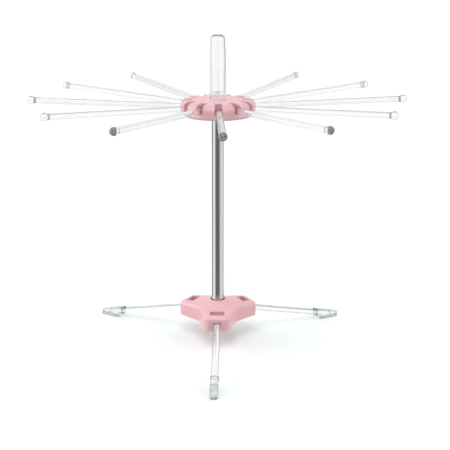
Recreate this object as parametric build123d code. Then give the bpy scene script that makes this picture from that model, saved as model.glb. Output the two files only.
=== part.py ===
from build123d import *
import os
from math import cos, radians, sin, tan

os.makedirs("parts", exist_ok=True)

# All lengths are in millimetres. The floor is z = 0, the column stands on the origin,
# and the front leg points along -Y.

# Gaps and cuts
seat_gap = 0.05  # radial gap between pieces that are pressed or slid together
pin_gap = 0.1  # radial gap round a hinge pin
side_gap = 0.3  # gap beside a moving piece, at its stops and under its seat
overrun = 1.0  # how far a cut runs past what it cuts

# Column
tube_diameter = 16.0
tube_wall = 1.0
tube_length = 273.7
plug_length = 16.0

# Small screws of the two bottom plates
screw_diameter = 3.0
screw_length = 10.0
screw_head_diameter = 5.8
screw_head_height = 1.9
screw_head_recess = 2.0  # how deep the head's seat lies in the plate
screw_hole_gap = 0.15  # radial gap of the plates' through holes
screw_boss_wall = 2.2

# Column screw and its washer
bolt_diameter = 5.0
bolt_length = 16.0
bolt_head_diameter = 9.0
bolt_head_height = 3.0
washer_diameter = 10.5
washer_thickness = 1.0

# Legs
leg_count = 3
leg_width = 8.8
leg_thickness = 6.8
leg_edge_radius = 1.2
leg_length = 141.4  # hinge pin to the hidden end of the bar
leg_slope = 14.0  # degrees below the level
leg_pin_diameter = 6.0
leg_pin_length = 17.9
leg_pin_radius_out = 37.75  # hinge pin's distance from the column's axis
leg_pin_rise = 9.0  # hinge pin's height above the housing's lower edge
stop_pad_length = 3.2  # flat on the leg's root that bears on the notch's roof

# Feet
foot_wall = 1.1  # above and below the bar
foot_side_wall = 0.6
foot_grip = 24.7  # how far the boot covers the bar
foot_toe = 12.9  # how far the boot reaches past the bar's end
foot_heel_length = 28.8  # length of the flat sole
foot_sole_thickness = 1.5  # least thickness of rubber under the bar's end
foot_edge_radius = 1.0
foot_toe_radius = 4.4
foot_lip = 0.4
foot_lip_length = 2.4

# Foot housing
base_rise = 26.6
crown_radius = 11.0  # flat round the column
crown_round_radius = 3.0
shoulder_radius = 26.0  # where the slope off the crown runs out
shoulder_drop = 6.0
shoulder_round_radius = 30.0
lobe_drop = 8.0  # how much lower the lobes' ends are than the crown
lobe_reach = 50.4
lobe_end_width = 31.0
lobe_corner_radius = 7.5
waist_radius = 28.0
waist_corner_radius = 14.0
base_edge_radius = 5.5
base_wall = 2.5
base_roof = 3.0
base_cover_thickness = 3.0
collar_diameter = 19.0
collar_depth = 3.0
socket_wall = 3.0  # wall round the tube, in the housing and in the crown
socket_floor = 3.0  # floor under the tube, which the column screw clamps
window_length = 10.5  # along the lobe
hinge_block_wall = 3.0
notch_height = 11.6
window_floor_height = 10.4  # the windows' floors, where the pins' grooves open
base_screw_circle_radius = 18.5

# Crown of arms
arm_count = 12
hub_turn = 2.8  # degrees that the crown is turned from the front leg
hub_radius = 47.8
hub_body_height = 12.1
hub_plate_height = 7.0
hub_plate_floor = 2.5
hub_roof = 3.2
petal_round_radius = 9.0  # outer ends of the petals, from the side
petal_edge_radius = 1.2
hub_foot_radius = 3.8  # rounding of the crown's lower edge
slot_inner_radius = 30.5
slot_corner_radius = 2.5
slot_wall = 3.5  # wall between the slots' inner ends and the hollow core
tube_socket_depth = 8.0
rest_ring_width = 4.8  # rim of the plate that the arms rest on
saddle_ring_width = 8.0  # ring of the plate under the hinge pins
hub_screw_count = 3
hub_screw_circle_radius = 19.0

# Arms
arm_width = 8.0
arm_height = 7.0
arm_edge_radius = 2.4
arm_length = 195.1  # hinge pin to the middle of the ball
arm_slope = 2.5  # degrees above the level
arm_pin_diameter = 5.0
arm_pin_length = 13.8
arm_pin_radius_out = 35.0  # hinge pin's distance from the column's axis
arm_head_edge_radius = 0.9
ball_diameter = 10.0

# Wand
rod_diameter = 8.4
rod_foot_gap = 42.2  # from the plug in the tube up to the rod's lower end
rod_end_radius = 1.2
rod_grip = 10.1  # how far the rod is pressed into the handle
handle_diameter = 19.6
handle_tip_diameter = 17.0
handle_length = 79.1
handle_taper_length = 24.0
handle_blend_radius = 60.0
handle_tip_radius = 5.6
handle_bore_gap = 0.4  # air above the rod's upper end

# Angles of the legs, the lobes between them, and the arms, from +X
leg_turn = 360 / leg_count
leg_angles = [leg_turn * leg - 90 for leg in range(leg_count)]
waist_angles = [angle + leg_turn / 2 for angle in leg_angles]
arm_turn = 360 / arm_count
arm_angles = [arm_turn * arm - 90 + hub_turn for arm in range(arm_count)]
hub_screw_angles = [360 / hub_screw_count * screw - 90 + hub_turn for screw in range(hub_screw_count)]

# Heights of the housing, from the sole up
leg_lean = radians(leg_slope)
bar_end_drop = leg_length * sin(leg_lean) + leg_thickness / 2 * cos(leg_lean)
leg_pin_z = foot_sole_thickness + bar_end_drop
base_underside_z = leg_pin_z - leg_pin_rise
base_cover_z = base_underside_z + base_cover_thickness
base_top_z = base_underside_z + base_rise
notch_roof_z = base_underside_z + notch_height
window_floor_z = base_underside_z + window_floor_height
bolt_recess_depth = washer_thickness + bolt_head_height + side_gap
bolt_seat_z = base_cover_z + bolt_recess_depth
tube_foot_z = bolt_seat_z + socket_floor

# Heights of the crown, from the tube up
tube_top_z = tube_foot_z + tube_length
hub_split_z = tube_top_z - tube_socket_depth
hub_underside_z = hub_split_z - hub_plate_height
hub_top_z = hub_split_z + hub_body_height
handle_foot_z = hub_top_z + side_gap
rod_top_z = handle_foot_z + rod_grip
rod_foot_z = tube_foot_z + plug_length + rod_foot_gap

# The arms' undersides lie one side gap above the inner edge of the plate's rim
arm_lift = radians(arm_slope)
rest_ring_inner_radius = hub_radius - rest_ring_width
arm_run_to_rest = rest_ring_inner_radius - arm_pin_radius_out
arm_pin_z = hub_split_z + side_gap + arm_height / 2 / cos(arm_lift) - arm_run_to_rest * tan(arm_lift)

# Widths shared by a piece and its opening
tube_radius = tube_diameter / 2
tube_bore_radius = tube_radius - tube_wall
socket_radius = tube_radius + socket_wall
leg_slot_width = leg_width + 2 * side_gap
leg_slot_inner_radius = leg_pin_radius_out - leg_thickness / 2 - side_gap
window_width = leg_pin_length + 2 * side_gap
window_outer_radius = leg_pin_radius_out + window_length / 2
arm_slot_width = arm_width + 2 * side_gap
screw_boss_radius = screw_diameter / 2 + screw_boss_wall
screw_pilot_radius = screw_diameter / 2 + seat_gap
screw_hole_radius = screw_diameter / 2 + screw_hole_gap
screw_head_hole_radius = screw_head_diameter / 2 + side_gap


def rod_between(radius, low, high, x=0, y=0):
    # Upright cylinder of a radius from one height to another
    return Pos(x, y, (low + high) / 2) * Cylinder(radius, high - low)


def block_between(x_low, x_high, width, low, high):
    # Box from one x to another, centred on y = 0
    middle = Pos((x_low + x_high) / 2, 0, (low + high) / 2)
    return middle * Box(x_high - x_low, width, high - low)


def cross_pin(radius, length, x, z):
    # Cylinder that lies along Y
    return Pos(x, 0, z) * Rot(90, 0, 0) * Cylinder(radius, length)


def around(shape, angles):
    # Copies of a shape turned about the column's axis
    return [Rot(0, 0, angle) * shape for angle in angles]


def at_circle(radius, angles):
    # Points on a circle about the column's axis
    return [(radius * cos(radians(angle)), radius * sin(radians(angle))) for angle in angles]


def save(name, shapes):
    # One file for each node, with its separate solids side by side
    solids = [solid for shape in shapes for solid in shape.solids()]
    node = solids[0] if len(solids) == 1 else Compound(children=solids)
    node.label = name
    export_step(node, f"parts/{name}.step")


def lobed_face(inset):
    # Three lobes with flat ends, joined by hollow waists and drawn in by an inset
    corners = []
    for leg in range(leg_count):
        turn = radians(leg_angles[leg])
        for side in (-lobe_end_width / 2, lobe_end_width / 2):
            x = lobe_reach * cos(turn) - side * sin(turn)
            y = lobe_reach * sin(turn) + side * cos(turn)
            corners.append((x, y))
        corners += at_circle(waist_radius, [waist_angles[leg]])
    face = make_face(Polyline(*corners, close=True))
    ends = face.vertices().filter_by(lambda corner: (corner.X**2 + corner.Y**2) ** 0.5 > lobe_reach)
    face = fillet(ends, lobe_corner_radius)
    inner_radius = waist_radius + seat_gap
    waists = face.vertices().filter_by(lambda corner: (corner.X**2 + corner.Y**2) ** 0.5 < inner_radius)
    face = fillet(waists, waist_corner_radius)
    return offset(face, -inset) if inset else face


def base_crown(top_z, low_z):
    # Flat crown round the column, a slope off it, and a gentler fall to the lobes' ends
    rim_radius = lobe_reach + lobe_end_width / 2
    fall_share = (lobe_drop - shoulder_drop) / (lobe_reach - shoulder_radius)
    rim_z = top_z - shoulder_drop - fall_share * (rim_radius - shoulder_radius)
    outline = Polyline(
        (0, 0, low_z),
        (rim_radius, 0, low_z),
        (rim_radius, 0, rim_z),
        (shoulder_radius, 0, top_z - shoulder_drop),
        (crown_radius, 0, top_z),
        (0, 0, top_z),
        close=True,
    )
    side = make_face(outline)
    shoulder = side.vertices().filter_by(lambda corner: abs(corner.X - shoulder_radius) < seat_gap)
    side = fillet(shoulder, shoulder_round_radius)
    crown_edge = side.vertices().filter_by(lambda corner: abs(corner.X - crown_radius) < seat_gap)
    side = fillet(crown_edge, crown_round_radius)
    return revolve(side, Axis.Z)


def base_body():
    height = base_rise + overrun
    outside = Pos(0, 0, base_underside_z) * extrude(lobed_face(0), height)
    outside &= base_crown(base_top_z, base_underside_z)
    rim_z = base_top_z - lobe_drop - base_edge_radius
    rim = outside.edges().filter_by(lambda edge: edge.center().Z > rim_z)
    rim = rim.filter_by(lambda edge: edge.geom_type != GeomType.CIRCLE)
    body = fillet(rim, base_edge_radius)

    hollow = Pos(0, 0, base_underside_z - overrun) * extrude(lobed_face(base_wall), height)
    hollow &= base_crown(base_top_z - base_roof, base_underside_z - overrun)
    hollow -= rod_between(socket_radius, base_cover_z, base_top_z)
    for x, y in at_circle(base_screw_circle_radius, waist_angles):
        hollow -= rod_between(screw_boss_radius, base_cover_z, base_top_z, x, y)
    hinge_inner = leg_pin_radius_out - window_length / 2 - hinge_block_wall
    hinge_block = block_between(
        hinge_inner, lobe_reach, window_width + 2 * hinge_block_wall, base_cover_z, base_top_z
    )
    for block in around(hinge_block, leg_angles):
        hollow -= block
    body -= hollow

    body -= rod_between(tube_radius + seat_gap, tube_foot_z, base_top_z + overrun)
    body -= rod_between(collar_diameter / 2, base_top_z - collar_depth, base_top_z + overrun)
    body -= rod_between(bolt_diameter / 2 + screw_hole_gap, base_underside_z, base_top_z)
    body -= rod_between(washer_diameter / 2 + side_gap, base_underside_z, bolt_seat_z)
    pilot_top_z = base_underside_z + screw_head_recess + screw_length + overrun
    for x, y in at_circle(base_screw_circle_radius, waist_angles):
        body -= rod_between(screw_pilot_radius, base_underside_z, pilot_top_z, x, y)

    window_inner = leg_pin_radius_out - window_length / 2
    window = block_between(window_inner, window_outer_radius, window_width, window_floor_z, base_top_z)
    bearing = cross_pin(leg_pin_diameter / 2 + pin_gap, window_width, leg_pin_radius_out, leg_pin_z)
    mouth_width = 2 * ((leg_pin_diameter / 2 + pin_gap) ** 2 - (window_floor_z - leg_pin_z) ** 2) ** 0.5
    mouth = block_between(
        leg_pin_radius_out - mouth_width / 2,
        leg_pin_radius_out + mouth_width / 2,
        window_width,
        leg_pin_z,
        window_floor_z,
    )
    notch = block_between(
        leg_slot_inner_radius, lobe_reach + overrun, leg_slot_width, base_underside_z - overrun, notch_roof_z
    )
    for cut in around(window + bearing + mouth + notch, leg_angles):
        body -= cut
    return body


def base_cover():
    plate = Pos(0, 0, base_underside_z) * extrude(lobed_face(base_wall + side_gap / 2), base_cover_thickness)
    leg_way = block_between(
        leg_slot_inner_radius,
        lobe_reach,
        leg_slot_width,
        base_underside_z - overrun,
        base_cover_z + overrun,
    )
    for cut in around(leg_way, leg_angles):
        plate -= cut
    seat_z = base_underside_z + screw_head_recess
    for x, y in at_circle(base_screw_circle_radius, waist_angles):
        plate -= rod_between(screw_hole_radius, base_underside_z - overrun, base_cover_z + overrun, x, y)
        plate -= rod_between(screw_head_hole_radius, base_underside_z - overrun, seat_z, x, y)
    return plate


def small_screws(radius, angles, seat_z):
    # Screws with flat heads below their seat and plain shanks above it
    screw = rod_between(screw_head_diameter / 2, seat_z - screw_head_height, seat_z)
    screw += rod_between(screw_diameter / 2, seat_z - screw_head_height, seat_z + screw_length)
    return [Pos(x, y, 0) * screw for x, y in at_circle(radius, angles)]


def column_tube():
    tube = rod_between(tube_radius, tube_foot_z, tube_top_z)
    return tube - rod_between(tube_bore_radius, tube_foot_z - overrun, tube_top_z + overrun)


def column_plug():
    plug = rod_between(tube_bore_radius - seat_gap, tube_foot_z, tube_foot_z + plug_length)
    return plug - rod_between(bolt_diameter / 2 + seat_gap, tube_foot_z - overrun, tube_top_z)


def column_screw():
    head_z = bolt_seat_z - washer_thickness
    screw = rod_between(bolt_head_diameter / 2, head_z - bolt_head_height, head_z)
    return screw + rod_between(bolt_diameter / 2, head_z - bolt_head_height, head_z + bolt_length)


def column_washer():
    washer = rod_between(washer_diameter / 2, bolt_seat_z - washer_thickness, bolt_seat_z)
    return washer - rod_between(bolt_diameter / 2 + screw_hole_gap, base_underside_z, base_top_z)


def leg_plane():
    # Cross-section plane at the hinge pin, square to the sloping bar
    way = (cos(leg_lean), 0, -sin(leg_lean))
    return Plane(origin=(leg_pin_radius_out, 0, leg_pin_z), x_dir=(0, 1, 0), z_dir=way)


def leg_line_z(radius, offset_up):
    # Height at a radius of a line that lies above the bar's middle by an offset
    return leg_pin_z - (radius - leg_pin_radius_out) * tan(leg_lean) + offset_up / cos(leg_lean)


def leg():
    section = RectangleRounded(leg_width, leg_thickness, leg_edge_radius)
    bar = extrude(leg_plane() * section, leg_length)
    bar += cross_pin(leg_pin_diameter / 2, leg_pin_length, leg_pin_radius_out, leg_pin_z)
    pad_low = window_outer_radius + side_gap
    pad_high = pad_low + stop_pad_length
    pad_top = notch_roof_z - side_gap
    pad = Polyline(
        (pad_low, 0, pad_top),
        (pad_high, 0, pad_top),
        (pad_high, 0, leg_line_z(pad_high, 0)),
        (pad_low, 0, leg_line_z(pad_low, 0)),
        close=True,
    )
    pad_half_width = leg_width / 2 - leg_edge_radius
    bar += extrude(make_face(pad), pad_half_width, both=True)
    return bar


def foot():
    # Boot that follows the bar above and stands on a flat sole
    offset_out = leg_thickness / 2 + foot_wall
    mouth_run = leg_length - foot_grip
    bar_end_radius = leg_pin_radius_out + leg_length * cos(leg_lean)
    mouth_top = leg_plane().from_local_coords(Vector(0, offset_out, mouth_run))
    mouth_low = leg_plane().from_local_coords(Vector(0, -offset_out, mouth_run))
    tip_radius = bar_end_radius + foot_toe
    side = Polyline(
        (mouth_top.X, 0, mouth_top.Z),
        (tip_radius, 0, leg_line_z(tip_radius, offset_out)),
        (tip_radius, 0, 0),
        (tip_radius - foot_heel_length, 0, 0),
        (mouth_low.X, 0, mouth_low.Z),
        close=True,
    )
    foot_width = leg_width + 2 * foot_side_wall
    boot = extrude(make_face(side), foot_width / 2, both=True)
    toe_edges = boot.edges().filter_by(Axis.Z).group_by(Axis.X)[-1]
    boot = fillet(toe_edges, foot_toe_radius)
    boot = fillet(boot.edges().filter_by(lambda edge: edge.center().Z > foot_edge_radius), foot_edge_radius)
    lip_section = RectangleRounded(
        foot_width + 2 * foot_lip,
        leg_thickness + 2 * (foot_wall + foot_lip),
        leg_edge_radius + foot_side_wall,
    )
    mouth_plane = leg_plane().offset(mouth_run)
    boot += extrude(mouth_plane * lip_section, foot_lip_length)
    pocket = RectangleRounded(
        leg_width + 2 * seat_gap, leg_thickness + 2 * seat_gap, leg_edge_radius + seat_gap
    )
    pocket_plane = leg_plane().offset(mouth_run - overrun)
    boot -= extrude(pocket_plane * pocket, foot_grip + overrun + seat_gap)
    return boot


def hub_body():
    outline = Polyline(
        (0, 0, hub_split_z),
        (hub_radius, 0, hub_split_z),
        (hub_radius, 0, hub_top_z),
        (0, 0, hub_top_z),
        close=True,
    )
    crown = revolve(make_face(outline), Axis.Z)
    top_rim = crown.edges().group_by(Axis.Z)[-1]
    crown = fillet(top_rim, petal_round_radius)

    slot_length = hub_radius + slot_corner_radius + overrun - slot_inner_radius
    slot_plan = RectangleRounded(slot_length, arm_slot_width, slot_corner_radius)
    slot = Pos(slot_inner_radius + slot_length / 2, 0, hub_split_z - overrun) * extrude(
        slot_plan, hub_body_height + 2 * overrun
    )
    for cut in around(slot, arm_angles):
        crown -= cut
    crown = fillet(petal_edges(crown), petal_edge_radius)

    groove_radius = arm_pin_diameter / 2 + pin_gap
    groove_length = arm_pin_length + 2 * side_gap
    groove = cross_pin(groove_radius, groove_length, arm_pin_radius_out, arm_pin_z)
    groove += block_between(
        arm_pin_radius_out - groove_radius,
        arm_pin_radius_out + groove_radius,
        groove_length,
        hub_split_z - overrun,
        arm_pin_z,
    )
    for cut in around(groove, arm_angles):
        crown -= cut

    core_top_z = hub_top_z - hub_roof
    core = rod_between(slot_inner_radius - slot_wall, hub_split_z - overrun, core_top_z)
    core -= rod_between(socket_radius, hub_split_z - overrun, core_top_z)
    for x, y in at_circle(hub_screw_circle_radius, hub_screw_angles):
        core -= rod_between(screw_boss_radius, hub_split_z - overrun, core_top_z, x, y)
    crown -= core
    crown -= rod_between(tube_radius + seat_gap, hub_split_z - overrun, tube_top_z)
    crown -= rod_between(rod_diameter / 2 + side_gap, hub_split_z, hub_top_z + overrun)
    pilot_top_z = hub_underside_z + screw_head_recess + screw_length + overrun
    for x, y in at_circle(hub_screw_circle_radius, hub_screw_angles):
        crown -= rod_between(screw_pilot_radius, hub_split_z - overrun, pilot_top_z, x, y)
    return crown


def petal_edges(crown):
    # Upper and outer edges of the slots, found from each slot's own middle line
    found = []
    for edge in crown.edges():
        middle = edge @ 0.5
        for angle in arm_angles:
            turn = radians(angle)
            along = middle.X * cos(turn) + middle.Y * sin(turn)
            across = abs(middle.Y * cos(turn) - middle.X * sin(turn))
            on_end = along > slot_inner_radius - seat_gap and across < arm_slot_width / 2 - seat_gap
            on_top = middle.Z > hub_top_z - seat_gap and on_end
            past_corner = along > slot_inner_radius + slot_corner_radius + seat_gap
            on_wall = abs(across - arm_slot_width / 2) < seat_gap and past_corner
            if on_top or (on_wall and middle.Z > hub_split_z + seat_gap):
                found.append(edge)
    return found


def hub_plate():
    outline = Polyline(
        (0, 0, hub_underside_z),
        (hub_radius, 0, hub_underside_z),
        (hub_radius, 0, hub_split_z),
        (0, 0, hub_split_z),
        close=True,
    )
    plate = revolve(make_face(outline), Axis.Z)
    plate = fillet(plate.edges().group_by(Axis.Z)[0], hub_foot_radius)

    floor_z = hub_underside_z + hub_plate_floor
    well = rod_between(rest_ring_inner_radius, floor_z, hub_split_z + overrun)
    saddle_outer = arm_pin_radius_out + saddle_ring_width / 2
    saddle_inner = arm_pin_radius_out - saddle_ring_width / 2
    saddle = rod_between(saddle_outer, floor_z, hub_split_z)
    saddle -= rod_between(saddle_inner, floor_z, hub_split_z)
    arm_way = block_between(0, saddle_outer + overrun, arm_slot_width, floor_z, hub_split_z + overrun)
    for cut in around(arm_way, arm_angles):
        saddle -= cut
    well -= saddle
    well -= rod_between(socket_radius, floor_z, hub_split_z)
    for x, y in at_circle(hub_screw_circle_radius, hub_screw_angles):
        well -= rod_between(screw_boss_radius, floor_z, hub_split_z, x, y)
    plate -= well

    rest_top_z = arm_pin_z - arm_pin_diameter / 2 - pin_gap
    rest_side = arm_slot_width / 2
    rest_length = (arm_pin_length - arm_slot_width) / 2
    rest = Pos(arm_pin_radius_out, rest_side + rest_length / 2, (hub_split_z + rest_top_z) / 2)
    rest = rest * Box(arm_pin_diameter - 2 * side_gap, rest_length, rest_top_z - hub_split_z)
    for post in around(rest, arm_angles) + around(mirror(rest, Plane.XZ), arm_angles):
        plate += post

    plate -= rod_between(tube_radius + seat_gap, hub_underside_z - overrun, hub_split_z + overrun)
    seat_z = hub_underside_z + screw_head_recess
    for x, y in at_circle(hub_screw_circle_radius, hub_screw_angles):
        plate -= rod_between(screw_hole_radius, hub_underside_z - overrun, hub_split_z + overrun, x, y)
        plate -= rod_between(screw_head_hole_radius, hub_underside_z - overrun, seat_z, x, y)
    return plate


def arm():
    way = (cos(arm_lift), 0, sin(arm_lift))
    plane = Plane(origin=(arm_pin_radius_out, 0, arm_pin_z), x_dir=(0, 1, 0), z_dir=way)
    bar = extrude(plane * RectangleRounded(arm_width, arm_height, arm_edge_radius), arm_length)
    head = cross_pin(arm_height / 2, arm_width, arm_pin_radius_out, arm_pin_z)
    bar += fillet(head.edges().filter_by(GeomType.CIRCLE), arm_head_edge_radius)
    bar += cross_pin(arm_pin_diameter / 2, arm_pin_length, arm_pin_radius_out, arm_pin_z)
    ball_centre = plane.from_local_coords(Vector(0, 0, arm_length))
    return bar + Pos(ball_centre) * Sphere(ball_diameter / 2)


def wand_handle():
    radius = handle_diameter / 2
    top_z = handle_foot_z + handle_length
    side = make_face(
        Polyline(
            (0, 0, handle_foot_z),
            (radius, 0, handle_foot_z),
            (radius, 0, top_z - handle_taper_length),
            (handle_tip_diameter / 2, 0, top_z),
            (0, 0, top_z),
            close=True,
        )
    )
    waist = side.vertices().filter_by(lambda corner: corner.X > radius - seat_gap).group_by(Axis.Z)[-1]
    side = fillet(waist, handle_blend_radius)
    tip = side.vertices().filter_by(lambda corner: corner.X > seat_gap).group_by(Axis.Z)[-1]
    side = fillet(tip, handle_tip_radius)
    body = revolve(side, Axis.Z)
    bore_top_z = rod_top_z + handle_bore_gap
    return body - rod_between(rod_diameter / 2 + seat_gap, handle_foot_z - overrun, bore_top_z)


def wand_rod():
    rod = rod_between(rod_diameter / 2, rod_foot_z, rod_top_z)
    return fillet(rod.edges().group_by(Axis.Z)[0], rod_end_radius)


# Foot housing and column
save("base_body", [base_body()])
save("base_cover", [base_cover()])
save(
    "base_cover_screws",
    small_screws(base_screw_circle_radius, waist_angles, base_underside_z + screw_head_recess),
)
save("column_tube", [column_tube()])
save("column_plug", [column_plug()])
save("column_screw", [column_screw()])
save("column_washer", [column_washer()])

# Legs and their boots
for place, angle in zip(("front", "right", "left"), leg_angles):
    save(f"leg_{place}", around(leg(), [angle]))
    save(f"foot_{place}", around(foot(), [angle]))

# Crown and arms
save("hub_body", [hub_body()])
save("hub_plate", [hub_plate()])
save(
    "hub_screws",
    small_screws(hub_screw_circle_radius, hub_screw_angles, hub_underside_z + screw_head_recess),
)
for number, angle in enumerate(arm_angles, start=1):
    save(f"arm_{number:02d}", around(arm(), [angle]))

# Wand
save("wand_handle", [wand_handle()])
save("wand_rod", [wand_rod()])
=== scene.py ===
import math
import bpy
import numpy as np
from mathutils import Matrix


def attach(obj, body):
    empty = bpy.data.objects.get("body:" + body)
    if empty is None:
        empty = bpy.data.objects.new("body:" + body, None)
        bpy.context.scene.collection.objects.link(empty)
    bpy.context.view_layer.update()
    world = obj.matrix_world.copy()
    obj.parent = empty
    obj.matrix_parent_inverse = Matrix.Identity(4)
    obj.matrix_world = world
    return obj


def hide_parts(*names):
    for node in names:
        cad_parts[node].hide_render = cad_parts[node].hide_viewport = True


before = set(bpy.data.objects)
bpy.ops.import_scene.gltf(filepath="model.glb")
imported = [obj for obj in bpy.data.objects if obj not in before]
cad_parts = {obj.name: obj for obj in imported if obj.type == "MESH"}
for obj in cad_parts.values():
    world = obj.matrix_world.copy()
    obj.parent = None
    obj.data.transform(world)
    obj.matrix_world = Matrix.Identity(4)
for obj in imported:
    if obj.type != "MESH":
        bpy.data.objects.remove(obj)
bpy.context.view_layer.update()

# Everything is in metres. The floor is z = 0, the column stands on the origin,
# and the front leg points along -Y.


class Socket:
    # One output of a shader node. Sums and products of it add Math nodes, so shader maths reads as Python
    def __init__(self, graph, output):
        self.graph = graph
        self.output = output

    def maths(self, operation, first, second=None):
        values = {0: first} if second is None else {0: first, 1: second}
        return self.graph.node("ShaderNodeMath", {"operation": operation}, values)

    def __add__(self, other):
        return self.maths("ADD", self, other)

    def __radd__(self, other):
        return self.maths("ADD", other, self)

    def __sub__(self, other):
        return self.maths("SUBTRACT", self, other)

    def __rsub__(self, other):
        return self.maths("SUBTRACT", other, self)

    def __mul__(self, other):
        return self.maths("MULTIPLY", self, other)

    def __rmul__(self, other):
        return self.maths("MULTIPLY", other, self)

    def __truediv__(self, other):
        return self.maths("DIVIDE", self, other)

    def __gt__(self, other):
        return self.maths("GREATER_THAN", self, other)


class Graph:
    # The nodes of one material or of the world
    def __init__(self, tree):
        self.tree = tree
        tree.nodes.clear()

    def node(self, kind, settings=None, values=None, output=0):
        made = self.tree.nodes.new(kind)
        settings = dict(settings or {})
        stops = settings.pop("stops", None)
        for name, value in settings.items():
            setattr(made, name, value)
        if stops:
            ramp = made.color_ramp
            while len(ramp.elements) < len(stops):
                ramp.elements.new(0.5)
            for element, (place, colour) in zip(ramp.elements, stops):
                element.position = place
                element.color = colour if len(colour) == 4 else (*colour, 1)
        for name, value in (values or {}).items():
            if isinstance(value, Socket):
                self.tree.links.new(value.output, made.inputs[name])
            else:
                made.inputs[name].default_value = value
        return Socket(self, made.outputs[output])

    def noise(self, place, scale, detail=2.0, roughness=0.5):
        values = {"Vector": place, "Scale": scale, "Detail": detail, "Roughness": roughness}
        return self.node("ShaderNodeTexNoise", None, values)

    def stretched(self, scale):
        # Object coordinates with each axis scaled, so that a noise on them is drawn out along one axis
        place = self.node("ShaderNodeTexCoord", output="Object")
        return self.node("ShaderNodeMapping", None, {"Vector": place, "Scale": scale})

    def rise(self, value, start, stop):
        # 0 below the start and 1 above the stop, with a smooth step between them
        return self.node("ShaderNodeMapRange", {"interpolation_type": "SMOOTHSTEP"},
                         {"Value": value, "From Min": start, "From Max": stop})

    def tint(self, amount, first, second):
        # Colour between two colours
        return self.node("ShaderNodeMix", {"data_type": "RGBA"}, {0: amount, 6: first, 7: second}, output=2)

    def bump(self, height, distance, strength=1.0):
        values = {"Height": height, "Distance": distance, "Strength": strength}
        return self.node("ShaderNodeBump", None, values)

    def surface(self, shader):
        end = self.tree.nodes.new("ShaderNodeOutputMaterial")
        self.tree.links.new(shader.output, end.inputs["Surface"])


def newMaterial(name):
    material = bpy.data.materials.new(name)
    material.use_nodes = True
    return material, Graph(material.node_tree)


# Pink moulded plastic: satin, with a fine mould texture, broad faint flow marks and a few duller patches
pinkLook = {
    "colour": (0.715, 0.41, 0.445, 1),
    "deeperColour": (0.685, 0.375, 0.41, 1),
    "roughness": 0.36,
    "refraction": 1.62,
    "grainScale": 2600.0,  # grains per metre
    "grainHeight": 0.000012,
}


def makePinkPlastic():
    material, graph = newMaterial("pinkPlastic")
    place = graph.node("ShaderNodeTexCoord", output="Object")
    flow = graph.noise(place, 38.0, 3.0)
    grain = graph.noise(place, pinkLook["grainScale"], 2.0)
    dull = graph.noise(place, 160.0, 4.0, 0.6)
    colour = graph.tint(flow * 1.6 - 0.45, pinkLook["colour"], pinkLook["deeperColour"])
    values = {
        "Base Color": colour,
        "Roughness": dull * 0.12 + (pinkLook["roughness"] - 0.06),
        "IOR": pinkLook["refraction"],
        "Normal": graph.bump(grain, pinkLook["grainHeight"], 0.5),
    }
    graph.surface(graph.node("ShaderNodeBsdfPrincipled", None, values))
    return material


# Clear plastic: polished, with slow waves left by the mould and a few faint scuffs
clearLook = {
    "colour": (0.975, 0.982, 0.985, 1),
    "refraction": 1.5,
    "roughness": 0.03,
    "cloud": 0.09,  # the share of light that the plastic scatters
    # edge, edgePower and the edge colour set the painted shade where the plastic is seen at a flat angle
    "edge": 0.9,
    "edgePower": 3.0,
    "paintedEdgeColour": (0.18, 0.18, 0.18, 1),
    "waveScale": 55.0,
    "waveHeight": 0.00005,
    "shadeColour": (0.93, 0.935, 0.94, 1),  # light that each surface lets through to the floor
}
paintedShadeTint = {"amount": 0.9, "colour": (0.05, 0.05, 0.05, 1)}  # the share and colour that a piece's painted shade values turn it to


def makeClear(name, look):
    material, graph = newMaterial(name)
    place = graph.node("ShaderNodeTexCoord", output="Object")
    wave = graph.noise(place, look["waveScale"], 1.0)
    scuff = graph.noise(place, 420.0, 5.0, 0.65)
    # Painted shade: the colour is darkened where the plastic is seen at a flat angle, and on the corners and
    # rims that a piece marks
    flat = graph.node("ShaderNodeLayerWeight", None, {"Blend": 0.5}, output="Facing")
    flat = graph.node("ShaderNodeMath", {"operation": "POWER"}, {0: flat, 1: look["edgePower"]})
    colour = graph.tint(flat * look["edge"], look["colour"], look["paintedEdgeColour"])
    paintedShade = graph.node("ShaderNodeAttribute", {"attribute_name": "paintedShade"}, output="Fac")
    colour = graph.tint(paintedShade * paintedShadeTint["amount"], colour, paintedShadeTint["colour"])
    values = {
        "Base Color": colour,
        "Roughness": (scuff > 0.66) * 0.05 + look["roughness"],
        "IOR": look["refraction"],
        "Transmission Weight": 1.0 - look["cloud"],
        "Normal": graph.bump(wave, look["waveHeight"], 0.35),
    }
    glass = graph.node("ShaderNodeBsdfPrincipled", None, values)
    through = graph.node("ShaderNodeBsdfTransparent", None, {"Color": look["shadeColour"]})
    toLamp = graph.node("ShaderNodeLightPath", output="Is Shadow Ray")
    graph.surface(graph.node("ShaderNodeMixShader", None, {0: toLamp, 1: glass, 2: through}))
    return material


# More painted shade on the legs' edges
legLook = dict(clearLook, edgePower=2.2, edge=1.0, paintedEdgeColour=(0.10, 0.10, 0.10, 1), cloud=0.07,
               waveHeight=0.000008, shadeColour=(0.68, 0.685, 0.69, 1))

# Where one clear piece grips another, the light goes straight on
seatLook = dict(clearLook, edge=0.0, cloud=0.0, waveHeight=0.0)

# The wand and the arms' balls are clearer than the bars
gripLook = dict(clearLook, cloud=0.03, waveHeight=0.00002)

# Clear rubber of the boots: greyer and cloudier than the bars
rubberLook = {
    "colour": (0.93, 0.935, 0.94, 1),
    "refraction": 1.48,
    "roughness": 0.05,
    "cloud": 0.04,
    "edge": 0.9,
    "edgePower": 3.0,
    "paintedEdgeColour": (0.15, 0.15, 0.15, 1),
    "waveScale": 90.0,
    "waveHeight": 0.00002,
    "shadeColour": (0.88, 0.885, 0.89, 1),
}

# The boots' soles are frosted where they stand on the floor
soleLook = dict(rubberLook, cloud=0.75, roughness=0.5, edge=0.3)

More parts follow.
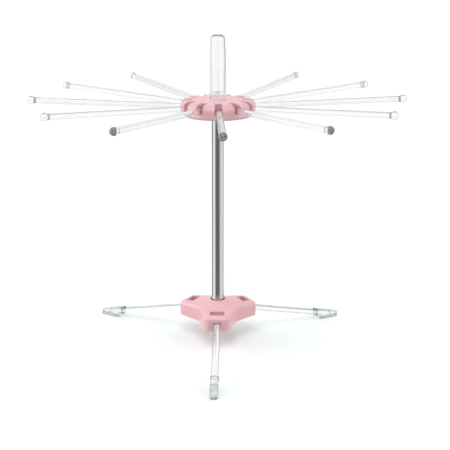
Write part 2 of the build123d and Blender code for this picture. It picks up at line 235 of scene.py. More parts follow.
# Stainless tube: drawn lines run along it, and its polish is a little uneven
steelLook = {
    "colour": (0.60, 0.60, 0.605, 1),
    "lineColour": (0.68, 0.68, 0.685, 1),
    "roughness": 0.11,
    "lines": (2200.0, 2200.0, 9.0),
    "patches": (30.0, 30.0, 12.0),
    "lineHeight": 0.000006,
}


def makeColumnSteel():
    material, graph = newMaterial("columnSteel")
    lines = graph.noise(graph.stretched(steelLook["lines"]), 1.0, 3.0, 0.6)
    patches = graph.noise(graph.stretched(steelLook["patches"]), 1.0, 2.0)
    values = {
        "Base Color": graph.tint(lines, steelLook["colour"], steelLook["lineColour"]),
        "Metallic": 1.0,
        "Roughness": lines * 0.06 + patches * 0.04 + (steelLook["roughness"] - 0.05),
        "Normal": graph.bump(lines, steelLook["lineHeight"], 0.35),
    }
    graph.surface(graph.node("ShaderNodeBsdfPrincipled", None, values))
    return material


# Screws: zinc plated, with a cloudy mottle
screwLook = {
    "colour": (0.50, 0.50, 0.50, 1),
    "mottleColour": (0.64, 0.63, 0.61, 1),
    "mottleScale": 900.0,
    "mottleHeight": 0.00002,
    "roughness": 0.20,
}


def makeScrewSteel():
    material, graph = newMaterial("screwSteel")
    place = graph.node("ShaderNodeTexCoord", output="Object")
    mottle = graph.noise(place, screwLook["mottleScale"], 4.0, 0.6)
    values = {
        "Base Color": graph.tint(mottle, screwLook["colour"], screwLook["mottleColour"]),
        "Metallic": 1.0,
        "Roughness": mottle * 0.25 + screwLook["roughness"],
        "Normal": graph.bump(mottle, screwLook["mottleHeight"], 0.5),
    }
    graph.surface(graph.node("ShaderNodeBsdfPrincipled", None, values))
    return material


# Plug in the column's foot: grey moulded plastic
plugLook = {
    "colour": (0.50, 0.50, 0.50, 1),
    "cloudColour": (0.60, 0.60, 0.59, 1),
    "cloudScale": 240.0,
    "grainScale": 2200.0,
    "grainHeight": 0.00001,
    "roughness": 0.4,
}


def makePlugPlastic():
    material, graph = newMaterial("plugPlastic")
    place = graph.node("ShaderNodeTexCoord", output="Object")
    cloud = graph.noise(place, plugLook["cloudScale"], 3.0)
    values = {
        "Base Color": graph.tint(cloud, plugLook["colour"], plugLook["cloudColour"]),
        "Roughness": cloud * 0.2 + plugLook["roughness"],
        "Normal": graph.bump(graph.noise(place, plugLook["grainScale"]), plugLook["grainHeight"], 0.5),
    }
    graph.surface(graph.node("ShaderNodeBsdfPrincipled", None, values))
    return material


pinkPlastic = makePinkPlastic()
clearPlastic = makeClear("clearPlastic", clearLook)
clearGrip = makeClear("clearGrip", gripLook)
clearLeg = makeClear("clearLeg", legLook)
clearSeat = makeClear("clearSeat", seatLook)
clearRubber = makeClear("clearRubber", rubberLook)
frostedSole = makeClear("frostedSole", soleLook)
columnSteel = makeColumnSteel()
screwSteel = makeScrewSteel()
plugPlastic = makePlugPlastic()
print("materials made")


def dress(node, material):
    # Gives a carried-over piece its finish
    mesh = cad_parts[node].data
    mesh.materials.clear()
    mesh.materials.append(material)


for name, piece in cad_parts.items():
    if name in ("base_body", "base_cover", "hub_body", "hub_plate"):
        dress(name, pinkPlastic)
    elif name in ("base_cover_screws", "hub_screws", "column_screw", "column_washer"):
        dress(name, screwSteel)
    elif name == "column_tube":
        dress(name, columnSteel)
    elif name == "column_plug":
        dress(name, plugPlastic)
    elif name.startswith("foot"):
        dress(name, clearRubber)
    else:
        dress(name, clearPlastic)
print("carried-over pieces dressed")


def roundedOutline(corners, radii, steps=8, hold=0.00012):
    # Each corner becomes an arc. The arc touches both sides at radius / tan(half the corner's angle) from the
    # corner, its centre lies radius / sin(half the angle) along the bisector, and one more point on each side
    # holds the flat.
    corners = np.asarray(corners, float)
    radii = np.asarray(radii, float)[:, None]
    ends = corners[[0, -1]]
    back = corners[:-2] - corners[1:-1]
    ahead = corners[2:] - corners[1:-1]
    back /= np.linalg.norm(back, axis=1, keepdims=True)
    ahead /= np.linalg.norm(ahead, axis=1, keepdims=True)
    half = np.arccos(np.clip((back * ahead).sum(axis=1, keepdims=True), -1, 1)) / 2
    reach = radii / np.tan(half)
    bisector = back + ahead
    bisector /= np.linalg.norm(bisector, axis=1, keepdims=True)
    centre = corners[1:-1] + bisector * radii / np.sin(half)
    start = corners[1:-1] + back * reach
    stop = corners[1:-1] + ahead * reach
    sweep = np.pi - 2 * half
    share = np.linspace(0, 1, steps + 1)[None, :, None]
    first, last = (start - centre)[:, None], (stop - centre)[:, None]
    turn = sweep[:, None]
    arcs = centre[:, None] + (np.sin((1 - share) * turn) * first + np.sin(share * turn) * last) / np.sin(turn)
    before = (start + back * hold)[:, None]
    after = (stop + ahead * hold)[:, None]
    middle = np.concatenate([before, arcs, after], axis=1).reshape(-1, 2)
    return np.concatenate([ends[:1], middle, ends[1:]])


def turned(outline, around=96):
    # An outline of radius and height turned about the Z axis: x = r cos a, y = r sin a, z = h
    angle = np.linspace(0, 2 * np.pi, around, endpoint=False)
    radius, height = outline[:, :1], outline[:, 1:]
    return np.stack([radius * np.cos(angle), radius * np.sin(angle), height + 0 * angle], axis=-1)


def sectionRings(halfWidth, halfHeight, corner, arcSteps=6, flatSteps=5):
    # Rounded rectangles, one for each station. A point is (p (a - r) + r c, q (b - r) + r s): (p, q) walks
    # along the flats between the corners' centres, and (c, s) turns a quarter of a circle at each corner.
    quarter = np.linspace(0, np.pi / 2, arcSteps + 1)
    walk = np.concatenate([[0.06], np.linspace(0.16, 0.84, flatSteps), [0.94]]) * 2 - 1
    p, q, turn = [], [], []
    for side in range(4):
        signs = [(1, 1), (-1, 1), (-1, -1), (1, -1)][side]
        level, still = side % 2 == 0, np.ones(walk.size)
        p += [np.full(quarter.size, signs[0]), (-walk if level else still) * signs[0]]
        q += [np.full(quarter.size, signs[1]), (still if level else -walk) * signs[1]]
        turn += [quarter + side * np.pi / 2, np.full(walk.size, (side + 1) * np.pi / 2)]
    p, q, turn = np.concatenate(p), np.concatenate(q), np.concatenate(turn)
    a, b, r = (np.asarray(size, float)[:, None] for size in (halfWidth, halfHeight, corner))
    r = np.minimum(r, np.minimum(a, b) * 0.98)
    return np.stack([p * (a - r) + r * np.cos(turn), q * (b - r) + r * np.sin(turn)], axis=-1)


def carried(path, across, up, sections):
    # Sections carried along a path: point = path + first * across + second * up
    return path[:, None] + sections[..., :1] * across[:, None] + sections[..., 1:] * up[:, None]


def turnedBy(points, degrees):
    # Points turned about the column's axis
    angle = math.radians(degrees)
    cosine, sine = math.cos(angle), math.sin(angle)
    spin = np.array([[cosine, sine, 0], [-sine, cosine, 0], [0, 0, 1]])
    return points @ spin


def shell(rings, closed=False):
    # Quads between neighbouring rings. An open row of rings is closed by a fan at its first and last ring
    count, around = rings.shape[:2]
    index = np.arange(count * around).reshape(count, around)
    lower, upper = (index, np.roll(index, -1, axis=0)) if closed else (index[:-1], index[1:])
    quads = np.stack([lower, np.roll(lower, -1, 1), np.roll(upper, -1, 1), upper], axis=-1).reshape(-1, 4)
    points = rings.reshape(-1, 3)
    if closed:
        return points, quads.tolist()
    points = np.concatenate([points, rings[[0, -1]].mean(axis=1)])
    first, last = np.full(around, count * around), np.full(around, count * around + 1)
    head = np.stack([np.roll(index[0], -1), index[0], first], axis=-1)
    tail = np.stack([index[-1], np.roll(index[-1], -1), last], axis=-1)
    return points, quads.tolist() + head.tolist() + tail.tolist()


def makePiece(name, shells, materials, node, body, sharpAngle=40.0, choose=None, paintedShade=None):
    # One mesh from closed shells. It stands for a carried-over node and rides on that node's body
    points, faces, count = [], [], 0
    for shellPoints, shellFaces in shells:
        points.append(shellPoints)
        faces += [[corner + count for corner in face] for face in shellFaces]
        count += len(shellPoints)
    mesh = bpy.data.meshes.new(name)
    mesh.from_pydata(np.concatenate(points).tolist(), [], faces)
    for material in materials:
        mesh.materials.append(material)
    if choose:
        mesh.polygons.foreach_set("material_index", choose(np.arange(len(faces))).astype(np.int32))
    # Painted shade values, kept in a point attribute that the clear materials read
    if paintedShade is not None:
        values = np.zeros(count, np.float32)
        values[:paintedShade.size] = paintedShade
        mesh.attributes.new("paintedShade", "FLOAT", "POINT").data.foreach_set("value", values)
    mesh.shade_smooth()
    mesh.set_sharp_from_angle(angle=math.radians(sharpAngle))
    piece = bpy.data.objects.new(name, mesh)
    bpy.context.scene.collection.objects.link(piece)
    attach(piece, body)
    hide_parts(node)
    return piece


# Column: a plain tube, with its ends just broken by a file
columnSizes = {
    "radius": 0.008, "wall": 0.001, "foot": 0.0403068, "top": 0.3140068, "brokenEdge": 0.0002, "around": 128,
}


def makeColumn():
    outer, inner = columnSizes["radius"], columnSizes["radius"] - columnSizes["wall"]
    foot, top = columnSizes["foot"], columnSizes["top"]
    middle = (foot + top) / 2
    corners = [(outer, middle), (outer, top), (inner, top), (inner, foot), (outer, foot), (outer, middle)]
    outline = roundedOutline(corners, [columnSizes["brokenEdge"]] * 4, 3)[:-1]
    rings = turned(outline, columnSizes["around"])
    makePiece("polishedColumn", [shell(rings, closed=True)], [columnSteel], "column_tube", "stand")


# Wand: a hollow grip, tapered at its tip, and the rod pressed into it
wandSizes = {
    "foot": 0.3184068, "radius": 0.0098, "tipRadius": 0.0085, "length": 0.0791, "taper": 0.024,
    "blend": 0.06, "tipRound": 0.0056, "paintedCapShadeReach": 0.0026, "paintedCapShade": 0.7, "footRound": 0.0005,
    "boreRadius": 0.00425, "boreGap": 0.0004, "gripAround": 128,
    "rodRadius": 0.0042, "rodFoot": 0.0985068, "rodTop": 0.3285068, "rodRound": 0.0012, "rodAround": 64,
    "paintedRodEndShadeReach": 0.0008, "paintedRodEndShade": 0.35, "neck": 0.0004,
    "press": 0.00002,  # the rod is pressed in, so light passes from one to the other
}


def makeWand():
    size = wandSizes
    foot, top = size["foot"], size["foot"] + size["length"]
    roof = size["rodTop"] + size["boreGap"]
    corners = [(0.0001, roof), (size["boreRadius"], roof), (size["boreRadius"], foot), (size["radius"], foot),
               (size["radius"], top - size["taper"]), (size["tipRadius"], top), (0.0001, top)]
    radii = [0.0001, 0.0003, size["footRound"], size["blend"], size["tipRound"]]
    outline = roundedOutline(corners, radii, 12)
    bore = np.flatnonzero(outline[:, 0] > size["boreRadius"] + 0.000001)[0] - 1
    around = size["gripAround"]
    # Painted shade on the grip's tip cap
    capPaintedShade = np.clip((outline[:, 1] - top + size["paintedCapShadeReach"]) / size["paintedCapShadeReach"] * 2, 0, 1) * size["paintedCapShade"]
    makePiece("clearGrip", [shell(turned(outline, around))], [clearGrip, clearSeat], "wand_handle", "wand",
              choose=lambda number: number < bore * around, paintedShade=capPaintedShade.repeat(around))
    radius = size["rodRadius"]
    held = size["boreRadius"] + size["press"]
    seat = foot + size["neck"]
    corners = [(0.0001, size["rodFoot"]), (radius, size["rodFoot"]), (radius, foot), (held, seat),
               (held, size["rodTop"]), (0.0001, size["rodTop"])]
    outline = roundedOutline(corners, [size["rodRound"], 0.0001, 0.0001, 0.0004], 8)
    start = np.flatnonzero(outline[:, 1] > seat)[0] * size["rodAround"]
    stop = (len(outline) - 1) * size["rodAround"]
    # Painted shade on the rod's end
    end = np.clip((outline[:, 1] - size["rodTop"]) / size["paintedRodEndShadeReach"] + 1, 0, 1) * size["paintedRodEndShade"]
    rings = turned(outline, size["rodAround"])
    makePiece("clearRod", [shell(rings)], [clearGrip, clearSeat], "wand_rod", "wand",
              choose=lambda number: (number >= start) & (number < stop), paintedShade=end.repeat(size["rodAround"]))


# Arms: a bar with a round head at its hinge pin and a ball at its tip
armSizes = {
    "count": 12, "turn": 2.8, "pinPlace": (0.035, 0.30946081), "slope": 2.5, "length": 0.1951,
    "halfWidth": 0.004, "halfHeight": 0.0035, "corner": 0.0024, "headRound": 0.0009,
    # The neck's back and reach place the painted shade at the neck; the corner shade and lower share give the
    # painted shade on the bar's corners
    "ballRadius": 0.005, "neckBlend": 0.0006, "ballRings": 34, "neckBack": 0.0040, "neckReach": 0.0016,
    "headRings": 15, "headLength": 0.017, "paintedCornerShade": 0.2, "lowerShare": 0.4,
    "pinRadius": 0.0025, "pinReach": 0.0069,
}


def cornerShade(above, below):
    # Painted shade round one section: a half wave over each corner, above and below, and none on the flats
    arc = np.concatenate([np.sin(np.linspace(0, np.pi, 7)), np.zeros(7)])
    return np.concatenate([arc * above, arc * above, arc * below, arc * below])


def armShells():
    size = armSizes
    length, ball = size["length"], size["ballRadius"]
    headTurn = np.radians(np.linspace(6, 90, 10))
    alongHead = -size["halfHeight"] * np.cos(headTurn)
    bar = np.concatenate([np.linspace(0.0012, 0.006, 5), np.linspace(0.016, length - 0.01, 14),
                          [length - 0.0065]])
    neckTurn = np.radians(np.concatenate([np.linspace(-70, 84, 34), [87, 89]]))
    tip = length + ball * np.sin(neckTurn)
    along = np.concatenate([alongHead, bar, tip])
    halfHeight = size["halfHeight"] * np.concatenate([np.sin(headTurn), np.ones(bar.size + tip.size)])
    widen = np.clip(along / 0.004, 0, 1)
    corner = size["headRound"] + (size["corner"] - size["headRound"]) * widen * widen * (3 - 2 * widen)
    sections = sectionRings(np.full(along.size, size["halfWidth"]), halfHeight, corner)
    # The ball: in each direction the radius is the bar's or the ball's, sqrt(R^2 - s^2), whichever is greater,
    # softly joined
    barRadius = np.linalg.norm(sections, axis=-1, keepdims=True)
    past = along - length
    ballRadius = np.sqrt(np.clip(ball ** 2 - past ** 2, 0, None))[:, None, None]
    soft = (size["neckBlend"] * np.clip((-0.001 - past) / 0.002, 0, 1))[:, None, None]
    joined = (barRadius + ballRadius + np.sqrt((barRadius - ballRadius) ** 2 + soft ** 2)) / 2
    onBall = (past > -0.001)[:, None, None]
    nearBall = (past > -0.0052)[:, None, None]
    radius = np.where(onBall, ballRadius, np.where(nearBall, joined, barRadius))
    sections = sections / np.maximum(barRadius, 1e-9) * radius
    slope = math.radians(size["slope"])
    way = np.array([math.cos(slope), 0, math.sin(slope)])
    up = np.array([-math.sin(slope), 0, math.cos(slope)])
    pinX, pinZ = size["pinPlace"]
    path = np.array([pinX, 0, pinZ]) + along[:, None] * way
    across = np.tile([0.0, 1.0, 0.0], (along.size, 1))
    shells = [carried(path, across, np.tile(up, (along.size, 1)), sections)]
    # Painted shade at the neck: 1 at its middle, falling to 0 within its reach on both sides
    neck = np.clip(1 - np.abs(past + size["neckBack"]) / size["neckReach"], 0, 1)
    neck = np.repeat(neck * neck * (3 - 2 * neck), sections.shape[1])
    # The bar's corners get painted shade too, from the head to the neck
    bare = (along > size["headLength"]) & (past < -0.006)
    paintedCorners = bare[:, None] * cornerShade(size["paintedCornerShade"], size["paintedCornerShade"] * size["lowerShare"])
    paintedShade = np.maximum(neck, paintedCorners.reshape(-1))
    pin = size["pinRadius"]
    for side in (-1, 1):
        near, far = size["halfWidth"] + 0.00003, size["pinReach"]
        corners = [(0.0001, near), (pin, near), (pin, far), (0.0001, far)]
        outline = roundedOutline(corners, [0.0002, 0.0003], 4)
        stub = turned(outline, 32)
        place = [stub[..., 0] + pinX, stub[..., 2] * side, stub[..., 1] * -side + pinZ]
        shells.append(np.stack(place, axis=-1))
    return shells, paintedShade


def makeArms():
    shells, paintedShade = armShells()
    rings, around = shells[0].shape[:2]
    start, stop = (rings - armSizes["ballRings"]) * around, (rings + 1) * around

    def armFinish(number):
        # The head in the crown's slot, the bar and the ball
        ball = (number >= start) & (number < stop)
        return np.where(ball, 1, np.where(number < armSizes["headRings"] * around, 2, 0))

    for number in range(armSizes["count"]):
        angle = 360 / armSizes["count"] * number - 90 + armSizes["turn"]
        turnedShells = [shell(turnedBy(rings, angle)) for rings in shells]
        node = f"arm_{number + 1:02d}"
        makePiece(f"clearArm{number + 1:02d}", turnedShells, [clearPlastic, clearGrip, clearSeat], node,
                  "folding_" + node, choose=armFinish, paintedShade=paintedShade)


# Legs: a flat bar that runs down from a cross pin in the housing, with a pad on top that meets the notch's roof
legSizes = {
    "angles": {"front": -90, "right": 30, "left": 150}, "pinPlace": (0.03775, 0.03900676), "slope": 14.0,
    "length": 0.1414, "halfWidth": 0.0044, "halfHeight": 0.0034, "corner": 0.0012,
    "pinRadius": 0.003, "pinReach": 0.00895, "padNear": 0.0433, "padFar": 0.0465, "padTop": 0.0413068,
    # The last two give the painted shade on the bar's corners, above and below
    "paintedCornerShade": 1.0, "lowerShare": 0.4,
}

# Boots: soft sleeves over the bars' ends. The sleeve follows the bar above and flattens onto the floor below
bootSizes = {
    "wall": 0.0011, "sideWall": 0.0006, "gap": -0.00002, "grip": 0.0247, "toe": 0.0129, "heel": 0.0288,
    "pocketRings": 6, "lip": 0.0004, "lipLength": 0.0024, "edge": 0.0010, "toeRound": 0.0044,
    # Painted shade: the height of the contact shadow along the rim, and the shade on the corners, the mouth and
    # the lip
    "paintedRimShadeHeight": 0.0024, "paintedCornerShade": 0.8, "paintedMouthShade": 0.3, "paintedLipShade": 1.0,
}


def legFrame():
    slope = math.radians(legSizes["slope"])
    pinX, pinZ = legSizes["pinPlace"]
    return slope, np.array([pinX, 0, pinZ]), np.array([math.cos(slope), 0, -math.sin(slope)])


def legShells():
    size = legSizes
    slope, pin, way = legFrame()
    mouth = size["length"] - bootSizes["grip"]
    along = np.concatenate([[0.00305, 0.0032, 0.0036], np.linspace(0.006, mouth - 0.0006, 9), [mouth],
                            size["length"] - np.array([0.012, 0.002, 0.0006, 0.0002, 0.0])])
    shrink = np.concatenate([[0.0004, 0.0001, 0], np.zeros(12), [0, 0.0001, 0.0004]])
    corner = np.full(along.size, size["corner"])
    sections = sectionRings(size["halfWidth"] - shrink, size["halfHeight"] - shrink, corner)
    up = np.tile([math.sin(slope), 0, math.cos(slope)], (along.size, 1))
    across = np.tile([0.0, 1.0, 0.0], (along.size, 1))
    shells = [carried(pin + along[:, None] * way, across, up, sections)]
    reach, radius = size["pinReach"], size["pinRadius"]
    corners = [(0.0001, -reach), (radius, -reach), (radius, reach), (0.0001, reach)]
    outline = roundedOutline(corners, [0.0005] * 2, 6)
    barrel = turned(outline, 64)
    shells.append(np.stack([barrel[..., 0] + pin[0], barrel[..., 2], -barrel[..., 1] + pin[2]], axis=-1))
    # The pad: upright sections between the bar's top and the notch's roof
    place = np.array([size["padNear"], size["padNear"] + 0.0003, size["padFar"] - 0.0003, size["padFar"]])
    low = pin[2] - (place - pin[0]) * math.tan(slope) + size["halfHeight"] / math.cos(slope) + 0.00003
    halfHeight = (size["padTop"] - low) / 2
    halfWidth = np.full(4, size["halfWidth"] - size["corner"]) - [0.0003, 0, 0, 0.0003]
    rings = sectionRings(halfWidth, halfHeight, np.full(4, 0.0004))
    path = np.stack([place, 0 * place, (size["padTop"] + low) / 2], axis=-1)
    shells.append(carried(path, np.tile([0.0, 1.0, 0.0], (4, 1)), np.tile([0.0, 0.0, 1.0], (4, 1)), rings))
    return shells


def bootRings():
    # One sleeve, from the pocket's end to the mouth, over the lip and on to the toe
    size = bootSizes
    slope, pin, way = legFrame()
    end = legSizes["length"]
    mouth = end - size["grip"]
    pocketEnd = end + size["gap"]
    pocketAlong = np.array([pocketEnd, pocketEnd - 0.0003, end - 0.002, end - 0.012, mouth + 0.0006, mouth])
    press = -0.00002  # the sleeve grips the bar, so light passes from one to the other
    pocketGrow = np.array([-0.0003, press, press, press, press, 0.0002])
    lipEnd = mouth + size["lipLength"]
    outAlong = np.array([mouth, mouth + 0.00012, mouth + 0.0005, mouth + 0.0012,
                         lipEnd - 0.0006, lipEnd - 0.0002, lipEnd])
    outLip = np.array([-0.0002, size["lip"] - 0.0002, 0, 0, 0, size["lip"] - 0.0002, 0.0001])
    outLip[2:5] = size["lip"]
    tipX = pin[0] + end * math.cos(slope) + size["toe"]
    heelX = tipX - size["heel"]
    startX = pin[0] + lipEnd * math.cos(slope)
    # Sections of the body stand on the radius x. They turn from square to the bar to upright by the heel
    toeTurn = np.radians(np.linspace(10, 88, 16))
    bodyX = np.concatenate([np.linspace(startX + 0.0004, tipX - size["toeRound"] - 0.0012, 18),
                            tipX - size["toeRound"] * (1 - np.sin(toeTurn))])
    lean = slope * np.clip(1 - (bodyX - startX) / (heelX - startX), 0, 1)
    offset = legSizes["halfHeight"] + size["wall"]
    topZ = pin[2] - (bodyX - pin[0]) * math.tan(slope) + offset / math.cos(slope)
    lowBar = pin[2] - (bodyX - pin[0]) * math.tan(slope) - offset / math.cos(slope)
    heelZ = lowBar[0] * np.clip((heelX - bodyX) / (heelX - bodyX[0]), 0, 1)
    lowZ = np.where(bodyX < heelX, heelZ, 0)
    inToe = np.clip((bodyX - (tipX - size["toeRound"])) / size["toeRound"], 0, 1)
    endRound = np.clip((bodyX - (tipX - size["edge"])) / size["edge"], 0, 1)
    dip = size["edge"] * (1 - np.sqrt(np.clip(1 - endRound ** 2, 0, 1)))
    halfWidth = legSizes["halfWidth"] + size["sideWall"]
    bodyWidth = halfWidth - size["toeRound"] * (1 - np.sqrt(np.clip(1 - inToe ** 2, 0, 1)))
    bodyHeight = (topZ - lowZ) / 2 - dip * 0.5
    bodyCorner = np.full(bodyX.size, legSizes["corner"] + size["sideWall"])
    bodyCorner = bodyCorner + (size["edge"] - bodyCorner) * np.clip((bodyX - startX) / 0.012, 0, 1)

    sleeveAlong = np.concatenate([pocketAlong, outAlong])
    growWide = np.concatenate([pocketGrow, size["sideWall"] + outLip])
    growHigh = np.concatenate([pocketGrow, size["wall"] + outLip])
    squareUp = np.tile([math.sin(slope), 0, math.cos(slope)], (sleeveAlong.size, 1))
    sleevePath = pin + sleeveAlong[:, None] * way
    bodyPath = np.stack([bodyX, 0 * bodyX, (topZ + lowZ) / 2], axis=-1)
    bodyUp = np.stack([np.sin(lean), 0 * lean, np.cos(lean)], axis=-1)
    path = np.concatenate([sleevePath, bodyPath])
    up = np.concatenate([squareUp, bodyUp])
    widths = np.concatenate([legSizes["halfWidth"] + growWide, bodyWidth])
    heights = np.concatenate([legSizes["halfHeight"] + growHigh, bodyHeight])
    corners = np.concatenate([legSizes["corner"] + np.maximum(growWide, 0), bodyCorner])
    across = np.tile([0.0, 1.0, 0.0], (path.shape[0], 1))
    rings = carried(path, across, up, sectionRings(widths, heights, corners))
    rings[..., 2] = np.maximum(rings[..., 2], 0)
    return rings


def makeLegs():
    bars, boot = legShells(), bootRings()
    # The bar's corners get painted shade outside the boot
    rings, around = bars[0].shape[:2]
    paintedCorners = np.tile(cornerShade(legSizes["paintedCornerShade"], legSizes["paintedCornerShade"] * legSizes["lowerShare"]), rings - 6)
    # Painted shade: a contact shadow on the boot's rim along the floor, and shade on its mouth and its lip;
    # none on its sole
    outward = np.linalg.norm(boot[..., :2], axis=-1)
    atToe = np.clip((outward - outward.max() + bootSizes["toeRound"]) / bootSizes["toeRound"], 0, 1)
    height = boot[..., 2] / (bootSizes["paintedRimShadeHeight"] * (1 + atToe))
    rim = np.clip(height * 8, 0, 1) * (1 - np.clip(height, 0, 1) ** 3)
    rim = np.maximum(rim, cornerShade(bootSizes["paintedCornerShade"], 0))
    pocket = bootSizes["pocketRings"]
    rim[:pocket] = 0
    rim[pocket:pocket + 3] = bootSizes["paintedMouthShade"]
    rim[pocket + 4:pocket + 7] = bootSizes["paintedLipShade"]
    rim = rim.reshape(-1)

    # Quads come first, then the fan on the first ring, then the fan on the last
    ring = np.arange(rings - 1).repeat(around)
    gripped = np.concatenate([ring >= rings - 6, np.zeros(around, bool), np.ones(around, bool)])
    ring = np.arange(boot.shape[0] - 1).repeat(around)
    level = (boot[:-1, :, 2] + boot[1:, :, 2]).reshape(-1) / 2
    finish = np.where(ring < pocket - 1, 1, np.where(level < 0.0001, 2, 0))
    finish = np.concatenate([finish, np.ones(around, int), np.zeros(around, int)])

    def barFinish(number):
        return np.where(number < gripped.size, gripped[np.minimum(number, gripped.size - 1)], 0)

    def bootFinish(number):
        return finish[number]

    for name, angle in legSizes["angles"].items():
        shells = [shell(turnedBy(rings, angle)) for rings in bars]
        makePiece("clearLeg" + name.title(), shells, [clearLeg, clearSeat], f"leg_{name}", f"{name}_leg",
                  choose=barFinish, paintedShade=paintedCorners)
        shells = [shell(turnedBy(boot, angle))]
        makePiece("softBoot" + name.title(), shells, [clearRubber, clearSeat, frostedSole], f"foot_{name}",
                  f"{name}_leg", choose=bootFinish, paintedShade=rim)


# Screws: cross recess in the head, thread on the shank. A place holds the piece's name, the kind, the
# radius, the first angle, the number of screws and the height of the seat
screwSizes = {
    "small": {"radius": 0.0015, "head": 0.0029, "height": 0.0019, "length": 0.010, "pitch": 0.0009},
    "large": {"radius": 0.0025, "head": 0.0045, "height": 0.0030, "length": 0.016, "pitch": 0.0008},
    "headRound": 0.0006, "crossReach": 0.62, "crossWidth": 0.28, "crossDepth": 0.6, "threadDepth": 0.2,
    "places": {
        "base_cover_screws": ("coverScrews", "small", 0.0185, -30.0, 3, 0.0320068),
        "hub_screws": ("crownScrews", "small", 0.019, -87.2, 3, 0.3010068),
        "column_screw": ("columnScrew", "large", 0.0, 0.0, 1, 0.0363068),
    },
}


def screwRings(size):
    # Seat at z = 0 and head below. In the face, depth = cross depth where min(|x|, |y|) is less than half the
    # cross's width and the radius is less than its reach. On the shank,
    # radius = R - depth (1 + cos(2 pi z / pitch - a)) / 2
    angle = np.linspace(0, 2 * np.pi, 96, endpoint=False)
    turnRound, soft = screwSizes["headRound"], 0.00012
    face = np.concatenate([[0.00005], np.linspace(0.0002, size["head"] - turnRound, 16)])[:, None]
    arm = np.minimum(np.abs(face * np.cos(angle)), np.abs(face * np.sin(angle)))
    inside = np.clip((screwSizes["crossWidth"] * size["head"] / 2 - arm) / soft + 0.5, 0, 1)
    inside = inside * np.clip((screwSizes["crossReach"] * size["head"] - face) / (soft * 3), 0, 1)
    faceHeight = -size["height"] * (1 - screwSizes["crossDepth"] * inside)
    quarter = np.linspace(0, np.pi / 2, 8)[1:]
    rim = np.stack([size["head"] - turnRound * (1 - np.sin(quarter)),
                    turnRound * (1 - np.cos(quarter)) - size["height"]])
    seat = np.array([[size["head"], size["head"] - 0.0001, size["radius"]], [-0.0001, 0.0, 0.0]])
    thread = np.linspace(0.0002, size["length"], int(size["length"] / size["pitch"] * 8))[:, None]
    ends = np.clip(np.minimum(thread, size["length"] - thread) / size["pitch"], 0, 1)
    wave = (1 + np.cos(2 * np.pi * thread / size["pitch"] - angle)) / 2
    core = size["radius"] * (1 - screwSizes["threadDepth"] * wave * ends)
    core = core * (1 - 0.3 * np.clip(1 - (size["length"] - thread) / 0.0006, 0, 1))
    sides = np.concatenate([rim, seat], axis=1)[..., None] + 0 * angle
    radius = np.concatenate([face + 0 * angle, sides[0], core])
    height = np.concatenate([faceHeight, sides[1], thread + 0 * angle])
    return np.stack([radius * np.cos(angle), radius * np.sin(angle), height], axis=-1)


def makeScrews():
    for node, (name, kind, radius, first, count, seat) in screwSizes["places"].items():
        rings = screwRings(screwSizes[kind])
        angles = first + 360 / count * np.arange(count)
        shells = [shell(turnedBy(rings + [radius, 0, seat], angle)) for angle in angles]
        makePiece(name, shells, [screwSteel], node, "stand")


makeColumn()
makeScrews()
makeWand()
makeArms()
makeLegs()
print("clear pieces and column made")


# Floor, lamps and world
lightLook = {
    # Soft lamps far away: strength, degrees across and turn from straight overhead
    "lamps": {"softFront": (1.16, 30.0, (38.0, -5.0, 0.0)), "softKey": (0.95, 40.0, (-5.0, -74.0, 0.0))},
    "floorColour": (0.867, 0.905, 0.90, 1),
    "floorBounce": (0.64, 0.63, 0.63, 1),
    "nearFloor": 0.12,
    "floorLift": 0.02,  # what the floor adds for the camera, so that it reads as white
    # What the studio shows round the compass: 0.5 is the front, 0.25 the left, 0.75 the right, 0 and 1 the back
    "ring": [(0.0, 1.08), (0.10, 1.0), (0.16, 0.4), (0.225, 0.4), (0.265, 1.4), (0.325, 1.3), (0.38, 0.45),
             (0.43, 0.18), (0.53, 0.16), (0.58, 0.32), (0.625, 0.75), (0.68, 1.1), (0.74, 0.95), (0.81, 0.82),
             (0.90, 0.95), (1.0, 1.08)],
    "brightest": 1.4,  # the highest level in the ring
    "above": 0.98,
    "below": 0.3,
    "throughGlass": 1.0,
    # What lights matt surfaces: an even level, a soft light overhead and softer ones on both sides
    "even": 0.13,
    "overhead": 0.40,
    "leftSide": 1.4,
    "rightSide": 1.5,
}


def makeFloor():
    size = 40.0
    corners = [(-size, -size, -0.0002), (size, -size, -0.0002), (size, size, -0.0002), (-size, size, -0.0002)]
    mesh = bpy.data.meshes.new("studioFloor")
    mesh.from_pydata(corners, [], [(0, 1, 2, 3)])
    floor = bpy.data.objects.new("studioFloor", mesh)
    bpy.context.scene.collection.objects.link(floor)
    material, graph = newMaterial("floorPaper")
    # The floor throws less light back at the object than it shows
    lit = graph.node("ShaderNodeLightPath", output="Is Diffuse Ray")
    colour = graph.tint(lit, lightLook["floorColour"], lightLook["floorBounce"])
    matt = graph.node("ShaderNodeBsdfDiffuse", None, {"Color": colour})
    seen = graph.node("ShaderNodeLightPath", output="Is Camera Ray")
    lift = graph.node("ShaderNodeEmission", None, {"Strength": seen * lightLook["floorLift"]})
    paper = graph.node("ShaderNodeAddShader", None, {0: matt, 1: lift})
    # Gloss looks past the floor at the studio, and so does glass that is further above it than nearFloor
    mirrored = graph.node("ShaderNodeLightPath", output="Is Glossy Ray")
    through = graph.node("ShaderNodeLightPath", output="Is Transmission Ray")
    travel = graph.node("ShaderNodeLightPath", output="Ray Length")
    missed = mirrored * (1.0 - through * (1.0 - (travel > lightLook["nearFloor"])))
    clear = graph.node("ShaderNodeBsdfTransparent")
    graph.surface(graph.node("ShaderNodeMixShader", None, {0: missed, 1: paper, 2: clear}))
    mesh.materials.append(material)


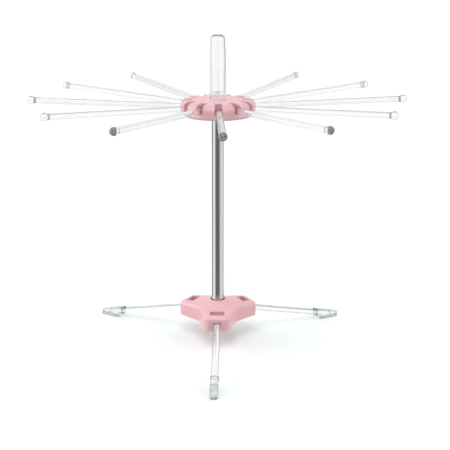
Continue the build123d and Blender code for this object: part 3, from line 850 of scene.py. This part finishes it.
def makeWorld():
    world = bpy.data.worlds.new("studio")
    bpy.context.scene.world = world
    world.use_nodes = True
    graph = Graph(world.node_tree)
    way = graph.node("ShaderNodeTexCoord", output="Generated")
    across = graph.node("ShaderNodeSeparateXYZ", None, {0: way})
    depth = Socket(graph, across.output.node.outputs["Y"])
    height = Socket(graph, across.output.node.outputs["Z"])
    turn = graph.node("ShaderNodeMath", {"operation": "ARCTAN2"}, {0: across, 1: depth * -1.0})
    turn = turn / (2 * math.pi) + 0.5
    brightest = lightLook["brightest"]
    stops = [(place, (level / brightest,) * 3) for place, level in lightLook["ring"]]
    ring = graph.node("ShaderNodeValToRGB", {"stops": stops}, {"Fac": turn})
    above = (lightLook["above"] / brightest,) * 3 + (1,)
    below = (lightLook["below"] / brightest,) * 3 + (1,)
    shade = graph.tint(graph.rise(height, 0.35, 0.8), ring, above)
    shade = graph.tint(graph.rise(height * -1.0, 0.55, 0.85), shade, below)
    # Through glass the studio is no brighter than the white background, so that a clear piece isn't lost
    # against a strip light
    limit = (lightLook["throughGlass"] / brightest,) * 3 + (1,)
    through = graph.node("ShaderNodeLightPath", output="Is Transmission Ray")
    settings = {"data_type": "RGBA", "blend_type": "DARKEN"}
    shade = graph.node("ShaderNodeMix", settings, {0: through, 6: shade, 7: limit}, output=2)
    gloss = graph.node("ShaderNodeBackground", None, {"Color": shade, "Strength": brightest})
    soft = graph.rise(height, 0.25, 0.9) * lightLook["overhead"] + lightLook["even"]
    soft = soft + graph.rise(across * -1.0, 0.3, 0.9) * lightLook["leftSide"]
    soft = soft + graph.rise(across, 0.3, 0.9) * lightLook["rightSide"]
    matt = graph.node("ShaderNodeBackground", None, {"Color": (1, 1, 1, 1), "Strength": soft})
    white = graph.node("ShaderNodeBackground", None, {"Color": (1, 1, 1, 1), "Strength": 1.0})
    seen = graph.node("ShaderNodeLightPath", output="Is Camera Ray")
    mirrored = graph.node("ShaderNodeLightPath", output="Is Glossy Ray")
    light = graph.node("ShaderNodeMixShader", None, {0: mirrored, 1: matt, 2: gloss})
    both = graph.node("ShaderNodeMixShader", None, {0: seen, 1: light, 2: white})
    end = graph.tree.nodes.new("ShaderNodeOutputWorld")
    graph.tree.links.new(both.output, end.inputs["Surface"])


def makeLamps():
    for name, (strength, width, turns) in lightLook["lamps"].items():
        light = bpy.data.lights.new(name, "SUN")
        light.energy = strength
        light.angle = math.radians(width)
        lamp = bpy.data.objects.new(name, light)
        lamp.rotation_euler = [math.radians(turn) for turn in turns]
        bpy.context.scene.collection.objects.link(lamp)


# Camera, as fitted to the photograph's arm tips, feet and column
cameraView = {
    "place": (0.0346, -1.3477, 0.5479),
    "pitch": 73.79,
    "turn": 1.47,
    "lens": 87.85,
    "sensor": 36.0,
    "shift": 0.01584,
}


def makeCamera():
    lens = bpy.data.cameras.new("camera")
    lens.lens = cameraView["lens"]
    lens.sensor_width = cameraView["sensor"]
    lens.shift_x = cameraView["shift"]
    lens.clip_start = 0.05
    lens.clip_end = 100.0
    camera = bpy.data.objects.new("camera", lens)
    camera.location = cameraView["place"]
    camera.rotation_euler = (math.radians(cameraView["pitch"]), 0, math.radians(cameraView["turn"]))
    bpy.context.scene.collection.objects.link(camera)
    bpy.context.scene.camera = camera


makeFloor()
makeWorld()
makeLamps()
makeCamera()
bpy.context.scene.view_settings.view_transform = "Standard"
print("stage, light and camera made")
